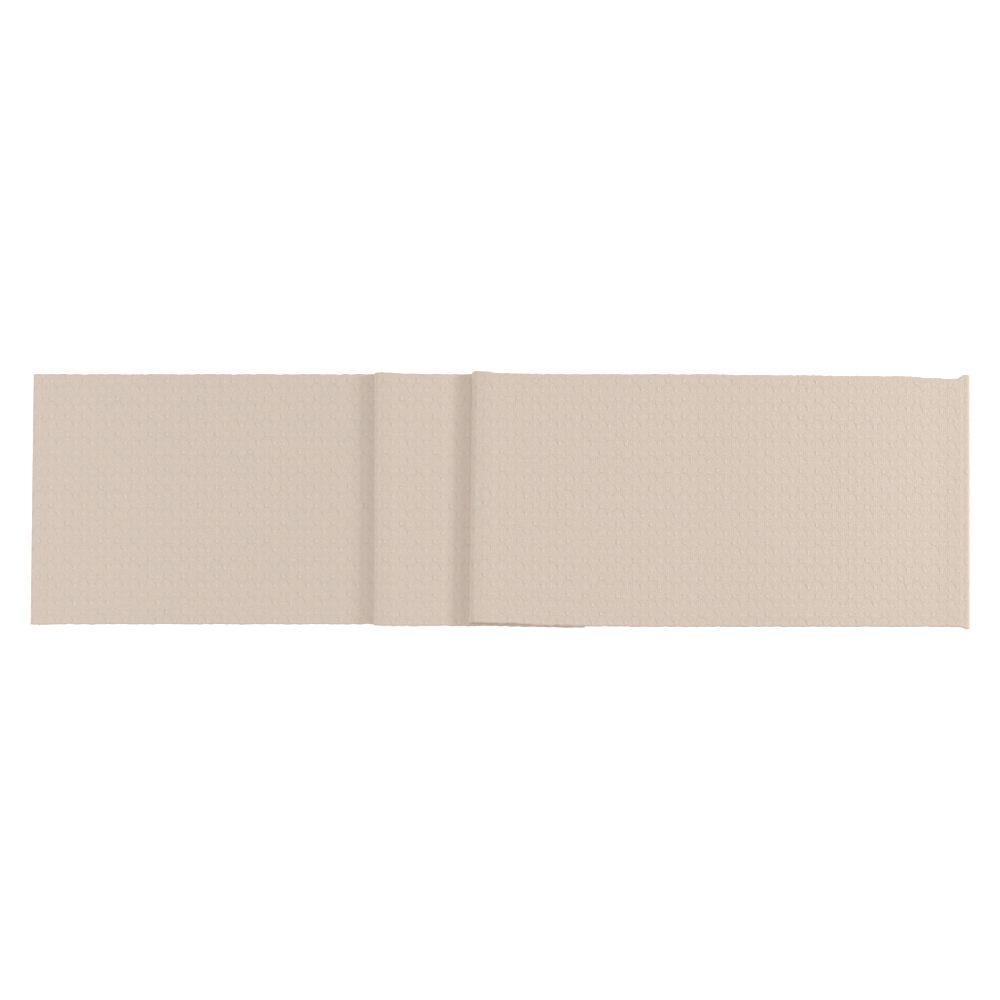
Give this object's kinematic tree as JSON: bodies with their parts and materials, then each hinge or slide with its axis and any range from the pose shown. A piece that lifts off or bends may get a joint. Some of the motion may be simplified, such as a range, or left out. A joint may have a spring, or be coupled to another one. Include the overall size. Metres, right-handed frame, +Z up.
{
  "type": "table runner",
  "caption": "Long narrow woven table runner lying flat with two soft crosswise knife pleats and a turned hem at each end.",
  "frame": {"origin": "on the table surface, under the middle of the laid cloth's length and width", "axes": "+X along the laid length, from the left panel to the right one; +Y across the width; +Z up from the table"},
  "size_m": [1.322, 0.356, 0.008],
  "materials": {
    "runner_cloth": "thick soft oatmeal cotton weave with a small raised pattern, matt",
    "hem_cloth": "the same cloth turned over and pressed, matt",
    "sewing_thread": "pale spun sewing thread, slightly glossier than the cloth"
  },
  "bodies": {
    "left_length": {"left_end_hem": "hem_cloth", "left_needle_thread": "sewing_thread", "left_bobbin_thread": "sewing_thread", "left_panel": "runner_cloth", "pleat_1_back_fold": "runner_cloth"},
    "pleat_1_under": {"pleat_1_under_panel": "runner_cloth"},
    "middle_length": {"pleat_1_front_fold": "runner_cloth", "pleat_1_top_panel": "runner_cloth", "pleat_1_step": "runner_cloth", "middle_panel": "runner_cloth", "pleat_2_back_fold": "runner_cloth"},
    "pleat_2_under": {"pleat_2_under_panel": "runner_cloth"},
    "right_length": {"pleat_2_front_fold": "runner_cloth", "pleat_2_top_panel": "runner_cloth", "pleat_2_step": "runner_cloth", "right_panel": "runner_cloth", "right_end_hem": "hem_cloth", "right_needle_thread": "sewing_thread", "right_bobbin_thread": "sewing_thread"}
  },
  "joints": [
    {"name": "pleat_1_open", "type": "hinge", "parent": "left_length", "child": "pleat_1_under", "pos_m": [-0.0884, 0, 0.0025], "axis": [0, 1, 0], "range_deg": [0, 176.1], "deforming": ["pleat_1_back_fold"]},
    {"name": "pleat_1_level", "type": "hinge", "parent": "pleat_1_under", "child": "middle_length", "pos_m": [-0.178, 0, 0.0055], "axis": [0, 1, 0], "range_deg": [-176.1, 0], "deforming": ["pleat_1_front_fold"]},
    {"name": "pleat_2_open", "type": "hinge", "parent": "middle_length", "child": "pleat_2_under", "pos_m": [0.1175, 0, 0.0025], "axis": [0, 1, 0], "range_deg": [0, 177.8], "deforming": ["pleat_2_back_fold"]},
    {"name": "pleat_2_level", "type": "hinge", "parent": "pleat_2_under", "child": "right_length", "pos_m": [-0.0424, 0, 0.0055], "axis": [0, 1, 0], "range_deg": [-177.8, 0], "deforming": ["pleat_2_front_fold"]}
  ],
  "couplings": [
    {"joint": "pleat_1_level", "follows": "pleat_1_open", "ratio": -1},
    {"joint": "pleat_2_level", "follows": "pleat_2_open", "ratio": -1}
  ]
}
